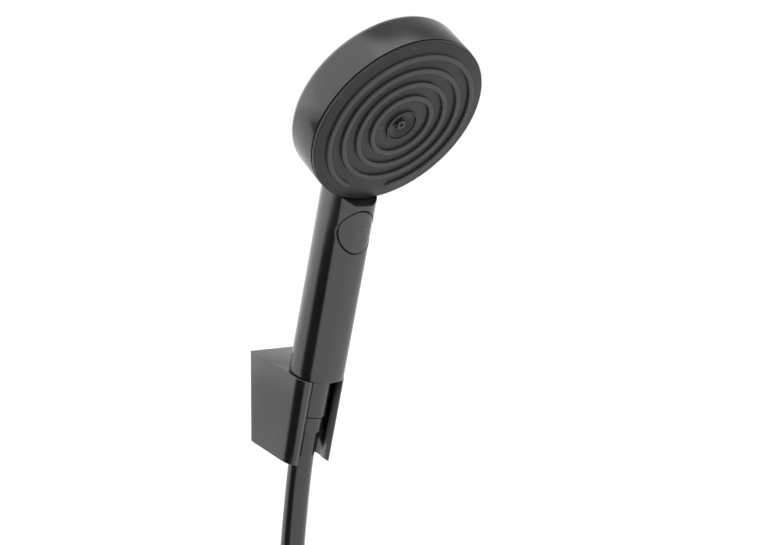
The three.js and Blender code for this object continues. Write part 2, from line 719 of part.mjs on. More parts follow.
function connectorSeal() {
  return turnedUp(oRingProfile(9.7, THREAD_TOP + 14, 0.9), ROUND);
}

function lowerTube() {
  const low = THREAD_TOP + 22 + GAP;
  const high = BUTTON_UP - HOUSING_RADIUS - GAP;
  return tubeUp(LOWER_TUBE_RADIUS, 1.2, low, high).translate(0, LOWER_TUBE_BACK, 0);
}

function flowRegulator() {
  const low = THREAD_TOP + GAP + 12 + GAP;
  const disc = turnedUp(ringProfile(1.2, 7.6 - GAP, low, low + 3, 0.3), ROUND);
  const holes = Array.from({ length: 6 }, (_, i) => {
    const angle = (i / 6) * 2 * Math.PI;
    return new THREE.CylinderGeometry(0.9, 0.9, 10, 10).rotateX(Math.PI / 2)
      .translate(4.2 * Math.cos(angle), 4.2 * Math.sin(angle), low);
  });
  return cut(disc, ...holes);
}

piece(alongHandle, 'inlet_connector', inletConnector(), satinBlack());
piece(alongHandle, 'check_valve_body', checkValveBody(), mouldedWhite());
piece(alongHandle, 'check_valve_poppet', checkValvePoppet(), mouldedGrey());
piece(alongHandle, 'check_valve_spring', checkValveSpring(), steel());
piece(alongHandle, 'flow_regulator', flowRegulator(), mouldedGrey());
piece(alongHandle, 'connector_seal', connectorSeal(), rubberBlack());
piece(alongHandle, 'lower_water_tube', lowerTube(), mouldedWhite());
['left', 'centre', 'right'].forEach((side, i) => {
  const across = (i - 1) * (2 * UPPER_TUBE_RADIUS + 1);
  const low = BUTTON_UP + HOUSING_RADIUS + GAP;
  const tube = tubeUp(UPPER_TUBE_RADIUS, 0.7, low, UPPER_TUBE_TOP).translate(across, UPPER_TUBE_BACK, 0);
  piece(alongHandle, `upper_water_tube_${side}`, tube, mouldedWhite());
});

// ---- Hose nut, ferrule and hose ----------------------------------------------------------

function hoseNut() {
  return turnedUp([
    [THREAD_RADIUS + GAP, NUT_TOP], [NUT_RADIUS - 0.3, NUT_TOP], [NUT_RADIUS, NUT_TOP - 0.3],
    [NUT_RADIUS, NUT_FOOT + 0.6], [NUT_RADIUS - 0.6, NUT_FOOT], [SWIVEL_NECK + RUN, NUT_FOOT],
    [SWIVEL_NECK + RUN, NUT_FOOT + 2.4], [THREAD_RADIUS + GAP, NUT_FOOT + 2.4],
  ], ROUND);
}

/** The flanged end of the hose that turns inside the nut. */
function swivelNipple() {
  const flangeTop = NUT_FOOT + 2.4 + RUN + 2.4;
  return turnedUp([
    [3.6, NUT_FOOT - GAP], [SWIVEL_NECK, NUT_FOOT - GAP], [SWIVEL_NECK, NUT_FOOT + 2.4 + RUN],
    [THREAD_RADIUS - 0.3, NUT_FOOT + 2.4 + RUN], [THREAD_RADIUS - 0.3, flangeTop], [3.6, flangeTop],
  ], ROUND);
}

function nutWasher() {
  const foot = NUT_FOOT + 2.4 + RUN + 2.4 + GAP;
  return turnedUp(ringProfile(4.4, THREAD_RADIUS - 0.2, foot, THREAD_FOOT - GAP, 0.2), ROUND);
}

function hoseFerrule() {
  const top = NUT_FOOT - 2 * GAP;
  return turnedUp([
    [0, top], [FERRULE_RADIUS - 0.3, top], [FERRULE_RADIUS, top - 0.3],
    [FERRULE_RADIUS, top - FERRULE_LENGTH + 0.5],
    [FERRULE_RADIUS - 0.5, top - FERRULE_LENGTH], [0, top - FERRULE_LENGTH],
  ], ROUND);
}

function hoseTube() {
  const foot = NUT_FOOT - 2 * GAP - FERRULE_LENGTH - GAP;
  const start = new THREE.Vector3(0, 0, foot).applyMatrix4(alongHandle.matrixWorld);
  return barAlong([start.toArray(), ...HOSE_POINTS], HOSE_RADIUS, 40, 12);
}

/** Outer shape of the tied coil, about Y. */
function hoseCoil() {
  const inner = COIL_RADIUS - HOSE_RADIUS;
  const outer = COIL_RADIUS + HOSE_RADIUS;
  const half = (COIL_LAYERS * COIL_LAYER_PITCH) / 2;
  return turned(ringProfile(inner, outer, -half, half, 3), FINE);
}

/** A strap around the coil's section. */
function hoseTie() {
  const thick = 1.4;
  const wide = 9;
  const halfAlong = (COIL_LAYERS * COIL_LAYER_PITCH) / 2 + GAP;
  const halfAcross = HOSE_RADIUS + 2 * GAP;
  const outline = (grow) => {
    const x = halfAcross + grow;
    const y = halfAlong + grow;
    return [[-x, -y], [x, -y], [x, y], [-x, y]].map(([px, py]) => new THREE.Vector2(px, py));
  };
  const loop = new THREE.Shape(outline(thick));
  loop.holes.push(new THREE.Path(outline(0).reverse()));
  return prism(loop, -wide / 2, wide / 2)
    .translate(COIL_RADIUS, 0, 0)
    .rotateY(-TIE_ANGLE);
}

const atFarEnd = new THREE.Group();
atFarEnd.position.set(
  COIL_RADIUS * Math.cos(FAR_END_ANGLE), FAR_AXIS_Y, COIL_RADIUS * Math.sin(FAR_END_ANGLE),
);
atFarEnd.quaternion.setFromUnitVectors(
  new THREE.Vector3(0, 1, 0),
  new THREE.Vector3(Math.sin(FAR_END_ANGLE), 0, -Math.cos(FAR_END_ANGLE)),
);
atCoil.add(atFarEnd);

function farFerrule() {
  return turned([
    [0, 0], [FERRULE_RADIUS - 0.4, 0], [FERRULE_RADIUS, 0.4], [FERRULE_RADIUS, FAR_FERRULE_LENGTH - 1],
    [SWIVEL_NECK, FAR_FERRULE_LENGTH], [SWIVEL_NECK, FAR_FERRULE_LENGTH + 3],
    [THREAD_RADIUS - 0.3, FAR_FERRULE_LENGTH + 3], [THREAD_RADIUS - 0.3, FAR_FERRULE_LENGTH + 5],
    [0, FAR_FERRULE_LENGTH + 5],
  ], ROUND);
}

/** Hexagon nut that screws the hose to the water outlet. */
function farNut() {
  const low = FAR_FERRULE_LENGTH + GAP;
  const high = low + FAR_NUT_LENGTH;
  const hexagon = new THREE.CylinderGeometry(FAR_NUT_RADIUS, FAR_NUT_RADIUS, FAR_NUT_LENGTH, 6)
    .translate(0, (low + high) / 2, 0);
  const inside = turned([
    [0, low - 1], [SWIVEL_NECK + RUN, low - 1], [SWIVEL_NECK + RUN, low + 3 - GAP - RUN],
    [THREAD_RADIUS, low + 3 - GAP - RUN], [THREAD_RADIUS, high + 1], [0, high + 1],
  ], ROUND);
  return cut(hexagon, inside);
}

function farWasher() {
  const low = FAR_FERRULE_LENGTH + 5 + GAP;
  return turned(ringProfile(4.4, THREAD_RADIUS - GAP, low, low + 2, 0.2), SMALL);
}

piece(alongHandle, 'hose_nut', hoseNut(), satinBlack());
piece(alongHandle, 'nut_washer', nutWasher(), rubberBlack());
piece(alongHandle, 'swivel_nipple', swivelNipple(), brass());
piece(alongHandle, 'hose_ferrule', hoseFerrule(), satinBlack());
piece(part, 'hose_tube', hoseTube(), satinBlack());
piece(atCoil, 'hose_coil', hoseCoil(), satinBlack());
piece(atCoil, 'hose_tie', hoseTie(), rubberBlack());
piece(atFarEnd, 'far_ferrule', farFerrule(), satinBlack());
piece(atFarEnd, 'far_nut', farNut(), satinBlack());
piece(atFarEnd, 'far_washer', farWasher(), rubberBlack());

export default part;
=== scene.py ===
import json
import math

import bmesh
import bpy
from mathutils import Matrix, Vector


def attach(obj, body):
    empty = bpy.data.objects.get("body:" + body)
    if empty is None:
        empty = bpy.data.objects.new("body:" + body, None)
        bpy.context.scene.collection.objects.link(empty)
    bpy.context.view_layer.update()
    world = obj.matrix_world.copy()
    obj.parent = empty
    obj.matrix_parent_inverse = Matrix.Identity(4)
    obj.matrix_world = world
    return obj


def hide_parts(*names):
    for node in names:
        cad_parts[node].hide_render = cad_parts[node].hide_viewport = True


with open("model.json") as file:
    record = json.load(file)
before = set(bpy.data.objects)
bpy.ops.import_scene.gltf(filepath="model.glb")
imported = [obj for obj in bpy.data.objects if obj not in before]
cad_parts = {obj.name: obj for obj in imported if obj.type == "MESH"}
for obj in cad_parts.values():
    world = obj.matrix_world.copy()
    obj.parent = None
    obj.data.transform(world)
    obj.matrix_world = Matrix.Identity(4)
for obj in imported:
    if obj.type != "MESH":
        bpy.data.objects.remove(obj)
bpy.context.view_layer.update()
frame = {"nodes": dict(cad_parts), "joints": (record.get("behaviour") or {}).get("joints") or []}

# A handheld shower set: wall holder, handset with a round spray head, and its hose.
# Sizes are in millimetres in each piece's own frame. The camera, lights, floor and card are
# placed in metres.

MM = 0.001
JOINTS = {joint["name"]: joint for joint in frame["joints"]}

HANDLE_HALF = 14.4
SQUARENESS = 2.6
HEAD_UP = 152.4
HEAD_OUT = 32.3
HEAD_PITCH = math.radians(23)
HEAD_RADIUS = 52.45
HEAD_EDGE = 4
HEAD_SIDE_BACK = 28.7
HEAD_DOME = 5.2
HEAD_WALL = 2.8
CASING_FRONT = 6.4
FACE_RADIUS = 52.2
FACE_LAND = 2
FACE_CROWN = 0.7
FACE_FLAT_RADIUS = 46.5
FACE_RIM_DEPTH = 5.9
RING_RADII = (18.2, 26.8, 35.4, 44)
RING_WIDTH = 2.8
RING_CREST = 0.45
RING_SINK = 0.12
RING_BREAK = math.radians(31)
RING_TAPER = (0.02, 0.35, 0.62, 0.82, 0.95)
NOZZLE_SPACING = 2.5
CUP_RADIUS = 8.4
CUP_RIM = 1.1
CUP_RIM_FRONT = 0.7
CUP_FLOOR = 5.3
BUTTON_UP = 88
BUTTON_RADIUS = 11.9
BUTTON_GAP = 0.35
BUTTON_WALL = 1.4
BUTTON_THICKNESS = 1.9
BUTTON_SKIRT_END = -8.5
BUTTON_BORE_FLOOR = -5.6
STEM_RADIUS = 2.6
STEM_END = -0.6
STEM_CHAMFER = 0.4
HANDLE_WALL = 2.5
HOLDER_HALF = 15.9
HOLDER_FRONT = 13.3
HOLDER_HEIGHT = 50.5
BRACKET_HALF_WIDTH = 11.5
BRACKET_HALF_HEIGHT = 20
BRACKET_DEPTH = 6
BRACKET_GAP = 0.3
BRACKET_HOLE_HEIGHTS = (12, -12)
BORE_RADIUS = 12.2
SLOT_HALF = 11.1
NUT_TOP = -1.5
NUT_FOOT = -23.1
NUT_RADIUS = 9.4
NUT_BORE = 5.28
FERRULE_TOP = NUT_FOOT - 0.6
FERRULE_FOOT = FERRULE_TOP - 9
FERRULE_RADIUS = 8.4
HEX_REACH = 11.5
HEX_CORNER = 10.7
HEX_FOOT = 16.3
HEX_TOP = 31.3
HEX_CHAMFER = 0.9
HOSE_RADIUS = 7
COIL_CENTRE = (2.5, -244)
COIL_RADIUS = 75
COIL_PITCH = 14.4
COIL_NEAR_WALL = -15.4
FAR_END_TURN = math.radians(-750.5)
FAR_END_DEPTH = -63.2
TAIL_TURN = 0.83
BEND_RADIUS = 80
BEND_TOP = -110

# The bend where the hose runs into its coil, in degrees.
BEND_FROM = 36.4
BEND_TO = 60

# In metres.
WELD_DISTANCE = 2e-6
FLOOR_SIZE = 6
FLOOR_HEIGHT = -0.36
CARD_FOOT = -0.359


def linked(name, data):
    """A new object in the scene."""
    obj = bpy.data.objects.new(name, data)
    bpy.context.scene.collection.objects.link(obj)
    return obj


# ---- Camera ---------------------------------------------------------------------------------


def make_camera():
    data = bpy.data.cameras.new("camera")
    data.lens = 81.2
    data.sensor_width = 36
    camera = linked("camera", data)
    camera.location = (-0.6180, -0.7801, 0.1480)
    camera.rotation_mode = "QUATERNION"
    camera.rotation_quaternion = Vector((0.66786, 0.74020, -0.07794)).to_track_quat("-Z", "Y")
    bpy.context.scene.camera = camera


make_camera()

# ---- Frames ---------------------------------------------------------------------------------


def frame_at(place, up):
    """A frame with Z along up, X across the wall and Y towards the back, in millimetres."""
    z = Vector(up).normalized()
    x = Vector((1, 0, 0))
    y = z.cross(x)
    turn = Matrix((x, y, z)).transposed().to_4x4()
    return Matrix.Translation(Vector(place)) @ turn @ Matrix.Scale(MM, 4)


HANDLE = frame_at(JOINTS["handset_swivel"]["pos_m"], JOINTS["handset_swivel"]["axis"])
HEAD = HANDLE @ Matrix.Translation((0, -HEAD_OUT, HEAD_UP)) @ Matrix.Rotation(HEAD_PITCH, 4, "X")
BUTTON = HANDLE @ Matrix.Translation((0, 0, BUTTON_UP))
UPRIGHT = Matrix.Rotation(math.pi / 2, 4, "X")
WALL = Matrix.Scale(MM, 4)
FAR_AXIS = Vector(JOINTS["far_nut_turn"]["axis"]).normalized()
FAR = (
    Matrix.Translation(Vector(JOINTS["far_nut_turn"]["pos_m"]))
    @ Vector((0, 1, 0)).rotation_difference(FAR_AXIS).to_matrix().to_4x4()
    @ Matrix.Scale(MM, 4)
)

# ---- Materials ------------------------------------------------------------------------------


def new_material(name, colour, roughness, metallic, spread, grain, bump, wear_and_highlight=0.0, specular=0.5):
    """A moulded or turned finish: uneven gloss, fine grain, soft handling marks, rubbed edges and a
    painted edge highlight.
    """
    material = bpy.data.materials.new(name)
    material.use_nodes = True
    nodes = material.node_tree.nodes
    links = material.node_tree.links
    shader = nodes["Principled BSDF"]
    shader.inputs["Metallic"].default_value = metallic
    shader.inputs["Specular IOR Level"].default_value = specular
    place = nodes.new("ShaderNodeTexCoord")

    marks = nodes.new("ShaderNodeTexNoise")
    marks.inputs["Scale"].default_value = 38
    marks.inputs["Detail"].default_value = 5
    marks.inputs["Roughness"].default_value = 0.6
    links.new(place.outputs["Object"], marks.inputs["Vector"])
    gloss = nodes.new("ShaderNodeMapRange")
    gloss.inputs["From Min"].default_value = 0.3
    gloss.inputs["From Max"].default_value = 0.7
    gloss.inputs["To Min"].default_value = roughness - spread
    gloss.inputs["To Max"].default_value = roughness + spread
    links.new(marks.outputs["Fac"], gloss.inputs["Value"])
    links.new(gloss.outputs["Result"], shader.inputs["Roughness"])

    tone = nodes.new("ShaderNodeValToRGB")
    tone.color_ramp.elements[0].position = 0.3
    tone.color_ramp.elements[0].color = (*[0.86 * part for part in colour], 1)
    tone.color_ramp.elements[1].position = 0.72
    tone.color_ramp.elements[1].color = (*[1.12 * part for part in colour], 1)
    links.new(marks.outputs["Fac"], tone.inputs["Fac"])
    colour_out = tone.outputs["Color"]
    # Sharp edges are lightened by pointiness: partly rubbed wear, partly a painted highlight for the
    # light that rounded rims catch.
    if wear_and_highlight:
        shape = nodes.new("ShaderNodeNewGeometry")
        edge = nodes.new("ShaderNodeMapRange")
        edge.inputs["From Min"].default_value = 0.54
        edge.inputs["From Max"].default_value = 0.66
        edge.inputs["To Max"].default_value = wear_and_highlight
        links.new(shape.outputs["Pointiness"], edge.inputs["Value"])
        rubbed_and_highlight = nodes.new("ShaderNodeMix")
        rubbed_and_highlight.data_type = "RGBA"
        rubbed_and_highlight.blend_type = "ADD"
        links.new(edge.outputs["Result"], rubbed_and_highlight.inputs["Factor"])
        links.new(colour_out, rubbed_and_highlight.inputs[6])
        # The grey added on edges is rubbed wear and a painted edge highlight.
        rubbed_and_highlight.inputs[7].default_value = (0.2, 0.2, 0.2, 1)
        colour_out = rubbed_and_highlight.outputs[2]
    links.new(colour_out, shader.inputs["Base Color"])

    fine = nodes.new("ShaderNodeTexNoise")
    fine.inputs["Scale"].default_value = grain
    fine.inputs["Detail"].default_value = 3
    links.new(place.outputs["Object"], fine.inputs["Vector"])
    relief = nodes.new("ShaderNodeBump")
    relief.inputs["Strength"].default_value = bump
    relief.inputs["Distance"].default_value = 0.0004
    links.new(fine.outputs["Fac"], relief.inputs["Height"])
    links.new(relief.outputs["Normal"], shader.inputs["Normal"])
    return material


# Colour, roughness, metallic, spread of gloss, grain, bump, rubbed edges with painted edge highlight,
# and specular level.
FINISHES = {
    "satin_black_casing": ((0.005, 0.0048, 0.0048), 0.2, 0.0, 0.02, 1500, 0.02, 0.5, 0.85),
    "satin_black_hose": ((0.006, 0.0058, 0.0058), 0.22, 0.0, 0.03, 900, 0.03, 0.0, 0.75),
    "face_black": ((0.007, 0.007, 0.007), 0.42, 0.0, 0.05, 1900, 0.08, 0.1, 0.36),
    "silicone_grey": ((0.02, 0.02, 0.02), 0.5, 0.0, 0.06, 2400, 0.05, 0.0, 0.6),
    "moulded_white": ((0.66, 0.66, 0.63), 0.48, 0.0, 0.08, 1200, 0.08),
    "moulded_grey": ((0.25, 0.26, 0.27), 0.48, 0.0, 0.08, 1200, 0.08),
    "seal_rubber": ((0.012, 0.012, 0.012), 0.75, 0.0, 0.08, 1600, 0.2),
    "brass": ((0.58, 0.42, 0.17), 0.33, 0.9, 0.08, 1400, 0.08),
    "steel": ((0.5, 0.51, 0.53), 0.3, 0.95, 0.08, 1800, 0.08),
}
MATERIALS = {name: new_material(name, *finish) for name, finish in FINISHES.items()}

CAD_SLOTS = {
    "satin_black_casing": (
        "holder_body", "handset_shell", "button_cap", "inlet_connector", "hose_nut", "hose_ferrule",
        "far_ferrule", "far_nut",
    ),
    "satin_black_hose": ("hose_tube", "hose_coil"),
    "face_black": ("face_plate", "centre_insert"),
    "silicone_grey": (
        "nozzle_ring_1", "nozzle_ring_2", "nozzle_ring_3", "nozzle_ring_4", "centre_nozzle",
    ),
    "moulded_white": (
        "distributor_plate", "selector_housing", "check_valve_body", "lower_water_tube",
        "upper_water_tube_left", "upper_water_tube_centre", "upper_water_tube_right",
    ),
    "moulded_grey": (
        "wall_bracket", "gallery_plate", "selector_cam", "check_valve_poppet", "flow_regulator",
    ),
    "seal_rubber": (
        "face_gasket", "distributor_seal", "stem_seal", "connector_seal", "nut_washer", "hose_tie",
        "far_washer",
    ),
    "brass": ("swivel_nipple",),
    "steel": ("bracket_set_screw", "centre_screw", "button_spring", "check_valve_spring"),
}

for slot_name, node_names in CAD_SLOTS.items():
    for node_name in node_names:
        node = frame["nodes"][node_name]
        node.data.materials.clear()
        node.data.materials.append(MATERIALS[slot_name])

# ---- Shape helpers --------------------------------------------------------------------------


def clean(mesh, sharp=math.radians(32)):
    """Weld, point outward and shade smooth, with real edges kept crisp."""
    work = bmesh.new()
    work.from_mesh(mesh)
    bmesh.ops.remove_doubles(work, verts=work.verts, dist=WELD_DISTANCE)
    bmesh.ops.dissolve_degenerate(work, edges=work.edges, dist=1e-6)
    bmesh.ops.recalc_face_normals(work, faces=work.faces)
    work.to_mesh(mesh)
    work.free()
    mesh.shade_smooth()
    mesh.set_sharp_from_angle(angle=sharp)
    mesh.update()


def solid(name, points, faces, place, slot_name="satin_black_casing"):
    """A mesh object from points in its own frame."""
    mesh = bpy.data.meshes.new(name)
    mesh.from_pydata([place @ Vector(point) for point in points], [], faces)
    clean(mesh)
    mesh.materials.append(MATERIALS[slot_name])
    return linked(name, mesh)


def eased(corners, easing=0.4, steps=4):
    """Round every corner of a profile; the ends on the axis stay as they are."""
    open_ended = corners[0][0] == 0 and corners[-1][0] == 0
    result = []
    for i, corner in enumerate(corners):
        if open_ended and i in (0, len(corners) - 1):
            result.append(tuple(corner))
            continue
        here = Vector(corner)
        back = Vector(corners[i - 1]) - here
        ahead = Vector(corners[(i + 1) % len(corners)]) - here
        if back.angle(-ahead) < math.radians(14):
            result.append(tuple(corner))
            continue
        reach = min(easing, 0.45 * back.length, 0.45 * ahead.length)
        first = here + back.normalized() * reach
        last = here + ahead.normalized() * reach
        for k in range(steps + 1):
            t = k / steps
            point = first * (1 - t) ** 2 + here * 2 * t * (1 - t) + last * t * t
            result.append((point.x, point.y))
    return result


def lofted(name, rings, place, slot_name="satin_black_casing", loop=False):
    """Skin equal rings of points; a ring of one point is a pole."""
    points = []
    numbered = []
    size = max(len(ring) for ring in rings)
    for ring in rings:
        start = len(points)
        points.extend(ring)
        numbered.append([start] * size if len(ring) == 1 else list(range(start, start + size)))
    pairs = list(zip(numbered, numbered[1:]))
    if loop:
        pairs.append((numbered[-1], numbered[0]))
    faces = []
    for low, high in pairs:
        for i in range(size):
            j = (i + 1) % size
            corners = list(dict.fromkeys([low[i], low[j], high[j], high[i]]))
            if len(corners) > 2:
                faces.append(corners)
    if not loop:
        for ring in (numbered[0], numbered[-1]):
            if ring[0] != ring[-1]:
                faces.append(ring)
    return solid(name, points, faces, place, slot_name)


def turned(name, profile, place, slot_name="satin_black_casing", segments=160):
    """Turn a profile of (radius, depth) about Y."""
    rings = []
    for radius, depth in profile:
        if radius == 0:
            rings.append([(0, depth, 0)])
            continue
        angles = [2 * math.pi * i / segments for i in range(segments)]
        rings.append([(radius * math.cos(a), depth, radius * math.sin(a)) for a in angles])
    open_ended = profile[0][0] == 0 and profile[-1][0] == 0
    return lofted(name, rings, place, slot_name, loop=not open_ended)


def rounded_square(half, height, count=144):
    """Points round the handle's section, even in angle."""
    ring = []
    for i in range(count):
        angle = 2 * math.pi * i / count
        across = math.cos(angle)
        along = math.sin(angle)
        radius = half / (abs(across) ** SQUARENESS + abs(along) ** SQUARENESS) ** (1 / SQUARENESS)
        ring.append((radius * across, radius * along, height))
    return ring


def block(name, low, high, place):
    """A plain box between two corners."""
    corners = [
        (x, y, z)
        for z in (low[2], high[2])
        for y in (low[1], high[1])
        for x in (low[0], high[0])
    ]
    faces = [(0, 1, 3, 2), (4, 5, 7, 6), (0, 1, 5, 4), (2, 3, 7, 6), (0, 2, 6, 4), (1, 3, 7, 5)]
    return solid(name, corners, faces, place)


def carved(obj, tools, operation="DIFFERENCE"):
    """Cut tools out of obj, or join them to it, and remove them."""
    for tool in tools:
        cutter = obj.modifiers.new("carve", "BOOLEAN")
        cutter.operation = operation
        cutter.solver = "EXACT"
        cutter.object = tool
        baked(obj)
        bpy.data.objects.remove(tool)
    clean(obj.data)
    return obj


def baked(obj):
    """Turn obj's modifiers into plain mesh."""
    graph = bpy.context.evaluated_depsgraph_get()
    mesh = bpy.data.meshes.new_from_object(obj.evaluated_get(graph))
    obj.modifiers.clear()
    old = obj.data
    name = old.name
    obj.data = mesh
    bpy.data.meshes.remove(old)
    mesh.name = name
    return obj


def place_piece(obj, body, nodes):
    """Attach a piece to the body it rides and hide the nodes that it replaces."""
    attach(obj, body)
    if nodes:
        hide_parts(*nodes)
    return obj


# ---- Hose -----------------------------------------------------------------------------------

HOSE_POINTS = (
    (0, -28.33, -24.62), (0, -26.45, -32), (0, -24.75, -40), (0, -22.8, -51), (0, -20.8, -64),
    (0, -18.8, -78), (0, -16.9, -94), (0, -15.8, -110), (1.2, -15.4, -124), (4.8, -15.4, -137.4),
    (10, -15.4, -149), (15.6, -15.4, -157.5),
)


def smooth_line(points, step=4.0):
    """Points a few millimetres apart on a smooth line through the given ones."""
    vectors = [Vector(point) for point in points]
    padded = [2 * vectors[0] - vectors[1], *vectors, 2 * vectors[-1] - vectors[-2]]
    result = []
    for before, here, after, beyond in zip(padded, padded[1:], padded[2:], padded[3:]):
        parts = max(1, round((after - here).length / step))
        for k in range(parts):
            t = k / parts
            result.append(0.5 * (
                2 * here + (after - before) * t
                + (2 * before - 5 * here + 4 * after - beyond) * t ** 2
                + (3 * here - before - 3 * after + beyond) * t ** 3
            ))
    result.append(vectors[-1])
    return result


def hose_line():
    """The hose's middle line from its ferrule, down and round the coil, to the far ferrule."""
    foot = HANDLE @ Vector((0, 0, FERRULE_FOOT - 0.3)) / MM
    line = smooth_line([foot, *HOSE_POINTS])
    for k in range(1, 8):
        angle = math.radians(BEND_FROM + (BEND_TO - BEND_FROM) * k / 8)
        x = BEND_RADIUS - BEND_RADIUS * math.cos(angle)
        line.append(Vector((x, COIL_NEAR_WALL, BEND_TOP - BEND_RADIUS * math.sin(angle))))
    start = math.radians(BEND_TO)
    turns = start - FAR_END_TURN
    steps = 260
    tail = TAIL_TURN / turns
    for k in range(steps + 1):
        share = k / steps
        angle = start - turns * share
        done = turns * share / (2 * math.pi)
        depth = COIL_NEAR_WALL - COIL_PITCH * min(done, 2)
        lift = min(1, max(0, (share - (1 - tail)) / tail))
        last = COIL_NEAR_WALL - 2 * COIL_PITCH
        if lift > 0:
            depth += (FAR_END_DEPTH - last) * lift * lift * (3 - 2 * lift)
        x = COIL_CENTRE[0] + COIL_RADIUS * math.cos(angle)
        line.append(Vector((x, depth, COIL_CENTRE[1] + COIL_RADIUS * math.sin(angle))))
    return line


def make_hose():
    """The round hose, as one curve along its middle line."""
    line = hose_line()
    data = bpy.data.curves.new("hose", "CURVE")
    data.dimensions = "3D"
    data.bevel_depth = HOSE_RADIUS * MM
    data.bevel_resolution = 7
    data.use_fill_caps = True
    spline = data.splines.new("POLY")
    spline.points.add(len(line) - 1)
    for point, here in zip(spline.points, line):
        point.co = (*(here * MM), 1)
    data.materials.append(MATERIALS["satin_black_hose"])
    return linked("hose", data)


hose = make_hose()
place_piece(hose, "hose", ("hose_tube", "hose_coil"))

# ---- Handset --------------------------------------------------------------------------------


def head_profile():
    """The head casing's outside as (radius, depth), from its front to the middle of its back."""
    side = HEAD_SIDE_BACK - HEAD_EDGE
    flat = HEAD_RADIUS - HEAD_EDGE
    profile = [(0, CASING_FRONT), (HEAD_RADIUS - 0.35, CASING_FRONT)]
    profile += [(HEAD_RADIUS - 0.1, CASING_FRONT + 0.1), (HEAD_RADIUS, CASING_FRONT + 0.35)]
    for k in range(13):
        angle = math.pi / 2 * k / 12
        profile.append((flat + HEAD_EDGE * math.cos(angle), side + HEAD_EDGE * math.sin(angle)))
    for k in range(1, 17):
        share = 1 - k / 16
        profile.append((flat * share, HEAD_SIDE_BACK + HEAD_DOME * (1 - share ** 2)))
    return profile


def handle_rings(low, high, half, edge=0.5):
    """Rings up the handle, its foot edge softly rounded."""
    rings = []
    for k in range(5):
        angle = math.pi / 2 * k / 4
        inset = edge * (1 - math.sin(angle))
        rings.append(rounded_square(half - inset, low + edge * (1 - math.cos(angle))))
    count = round((high - low) / 3)
    for k in range(1, count + 1):
        rings.append(rounded_square(half, low + edge + (high - low - edge) * k / count))
    return rings


def handle_front(across, half):
    """Depth of the handle's curved front at a place across it."""
    return -half * (1 - abs(across / half) ** SQUARENESS) ** (1 / SQUARENESS)


def front_ring(radius, depth_of, segments=128):
    """Points round the button's axis, each at a depth that depends on its place across."""
    points = []
    for i in range(segments):
        angle = 2 * math.pi * i / segments
        x = radius * math.cos(angle)
        points.append((x, depth_of(x), radius * math.sin(angle)))
    return points


def button_bore():
    """The opening for the button, its edge bevelled evenly along the handle's curved front."""
    wall = BUTTON_RADIUS + BUTTON_GAP
    bevel = 0.55
    rings = [
        [(0, -20, 0)],
        front_ring(wall + bevel, lambda x: -20),
        front_ring(wall + bevel, lambda x: handle_front(x, HANDLE_HALF) - 0.06),
        front_ring(wall + 0.3, lambda x: handle_front(x, HANDLE_HALF) + 0.2),
        front_ring(wall, lambda x: handle_front(x, HANDLE_HALF) + 0.6),
        front_ring(wall, lambda x: BUTTON_BORE_FLOOR),
        [(0, BUTTON_BORE_FLOOR, 0)],
    ]
    return lofted("button_bore", rings, BUTTON)


def make_handset_shell():
    """Handle and head casing in one: joined, then hollowed and bored for the button."""
    shell = lofted("handset_casing", handle_rings(0.2, HEAD_UP - 8, HANDLE_HALF), HANDLE)
    back = block("back_cut", (-80, HEAD_SIDE_BACK, -120), (80, 200, 80), HEAD)
    clear = FACE_RADIUS + 0.3
    rim = turned("rim_cut", [
        (0, -40), (60, -40), (60, -6.5), (clear + 2.2, -3.8), (clear + 1.6, -3.6), (clear + 1.0, -3.2),
        (clear + 0.5, -2.5), (clear + 0.18, -1.6), (clear, -0.4), (clear, CASING_FRONT),
        (0, CASING_FRONT),
    ], HEAD, segments=256)
    carved(shell, [back, rim])
    head = turned("head", head_profile(), HEAD, segments=256)
    carved(shell, [head], "UNION")
    wide = HEAD_RADIUS - HEAD_WALL
    deep = HEAD_SIDE_BACK - HEAD_WALL
    corner = 2
    cavity = turned("cavity", [
        (0, 0), (wide, 0), (wide, deep - corner), (wide - corner, deep), (0, deep),
    ], HEAD, segments=192)
    inner = HANDLE_HALF - HANDLE_WALL
    hollow = lofted("hollow", [
        rounded_square(inner, -1, 96), rounded_square(inner, BUTTON_UP + BUTTON_RADIUS, 96),
    ], HANDLE)
    bore = button_bore()
    neck = lofted("neck", [
        rounded_square(inner, BUTTON_UP, 96), rounded_square(inner, HEAD_UP - 12, 96),
    ], HANDLE)
    slab = block("slab", (-80, CASING_FRONT + HEAD_WALL, -120), (80, deep, 80), HEAD)
    carved(neck, [slab], "INTERSECT")
    carved(shell, [cavity, hollow, neck, bore])
    return place_piece(shell, "handset", ("handset_shell",))


make_handset_shell()

# ---- Spray face -----------------------------------------------------------------------------


def crown(radius):
    """How far the face falls back at a radius."""
    return FACE_CROWN * (radius / RING_RADII[-1]) ** 2


def land(radius):
    """Depth of the plate's own surface at a radius."""
    return FACE_LAND + crown(radius)


